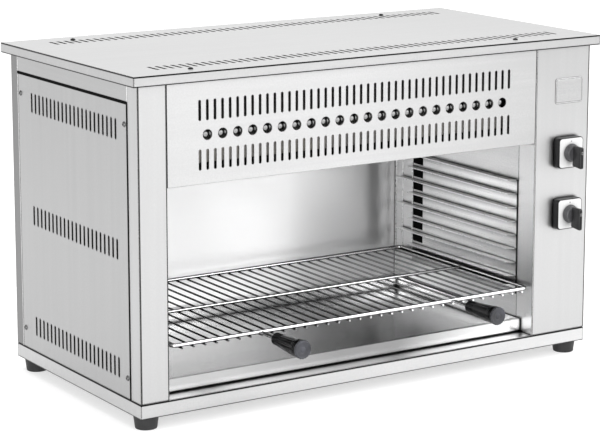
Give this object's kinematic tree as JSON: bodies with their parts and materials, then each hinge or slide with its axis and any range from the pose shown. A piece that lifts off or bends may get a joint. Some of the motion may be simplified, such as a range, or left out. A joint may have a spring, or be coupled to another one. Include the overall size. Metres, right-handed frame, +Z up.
{
  "type": "cheese melter",
  "caption": "Worktop cheese melter: a stainless grill box with an open front, heating elements overhead, rotary switches, a wire grid on runners with grips, and a crumb tray.",
  "frame": {"origin": "on the worktop, midway across and midway between the grips' front ends and the cable gland's end", "axes": "+X to the right seen from the front, +Y from the open front to the back, +Z up"},
  "size_m": [0.822, 0.535, 0.5122],
  "materials": {
    "body_steel": "brushed stainless steel",
    "chamber_steel": "satin stainless steel",
    "chrome_wire": "chromed wire",
    "black_plastic": "satin",
    "grip_plastic": "moulded thermoset, satin",
    "cap_plastic": "satin",
    "plate_metal": "white anodised",
    "foot_rubber": "matte",
    "black_screw": "black oxide",
    "zinc_screw": "zinc plated",
    "element_tube": "heat-tinted alloy sheath",
    "brass": "plain",
    "ceramic": "glazed ceramic",
    "fibre": "mineral fibre",
    "sleeve": "braided glass sleeve",
    "badge_metal": "blank, brushed"
  },
  "bodies": {
    "machine": {"base_pan": "body_steel", "deck": "chamber_steel", "foot_front_left": "foot_rubber", "foot_front_right": "foot_rubber", "foot_rear_left": "foot_rubber", "foot_rear_right": "foot_rubber", "foot_screws": "zinc_screw", "foot_nuts": "zinc_screw", "left_column": "body_steel", "control_column": "body_steel", "left_top_rail": "body_steel", "right_top_rail": "body_steel", "rear_panel": "body_steel", "left_side_panel": "body_steel", "right_side_panel": "body_steel", "side_panel_screws": "zinc_screw", "top_cap": "body_steel", "cap_screws": "black_screw", "vent_fascia": "body_steel", "left_chamber_wall": "chamber_steel", "right_chamber_wall": "chamber_steel", "chamber_back": "chamber_steel", "left_insulation": "fibre", "right_insulation": "fibre", "rear_insulation": "fibre", "reflector": "chamber_steel", "reflector_skirt": "chamber_steel", "insulation_blanket": "fibre", "left_rack": "chamber_steel", "right_rack": "chamber_steel", "left_element": "element_tube", "right_element": "element_tube", "element_hangers": "chamber_steel", "element_nuts": "brass", "element_beads": "ceramic", "upper_switch": "black_plastic", "lower_switch": "black_plastic", "upper_bezel": "black_plastic", "lower_bezel": "black_plastic", "upper_plate": "plate_metal", "lower_plate": "plate_metal", "switch_screws": "zinc_screw", "terminal_block": "ceramic", "wiring_loom": "sleeve", "cable_gland": "black_plastic", "gland_nut": "black_plastic", "earth_stud": "zinc_screw", "earth_nut": "brass", "badge_plate": "badge_metal"},
    "grid": {"wire_grid": "chrome_wire", "left_handle_wires": "chrome_wire", "right_handle_wires": "chrome_wire", "left_grip": "grip_plastic", "right_grip": "grip_plastic", "grip_caps": "cap_plastic"},
    "tray": {"crumb_tray": "chamber_steel"},
    "upper_control": {"upper_knob": "black_plastic", "upper_spindle": "zinc_screw"},
    "lower_control": {"lower_knob": "black_plastic", "lower_spindle": "zinc_screw"}
  },
  "joints": [
    {"name": "grid_slide", "type": "slide", "parent": "machine", "child": "grid", "axis": [0, -1, 0], "range_m": [0, 0.25]},
    {"name": "tray_slide", "type": "slide", "parent": "machine", "child": "tray", "axis": [0, -1, 0], "range_m": [0, 0.3]},
    {"name": "upper_knob_turn", "type": "hinge", "parent": "machine", "child": "upper_control", "pos_m": [0.356, -0.1745, 0.33], "axis": [0, 1, 0], "range_deg": [0, 270]},
    {"name": "lower_knob_turn", "type": "hinge", "parent": "machine", "child": "lower_control", "pos_m": [0.356, -0.1745, 0.233], "axis": [0, 1, 0], "range_deg": [0, 270]}
  ]
}
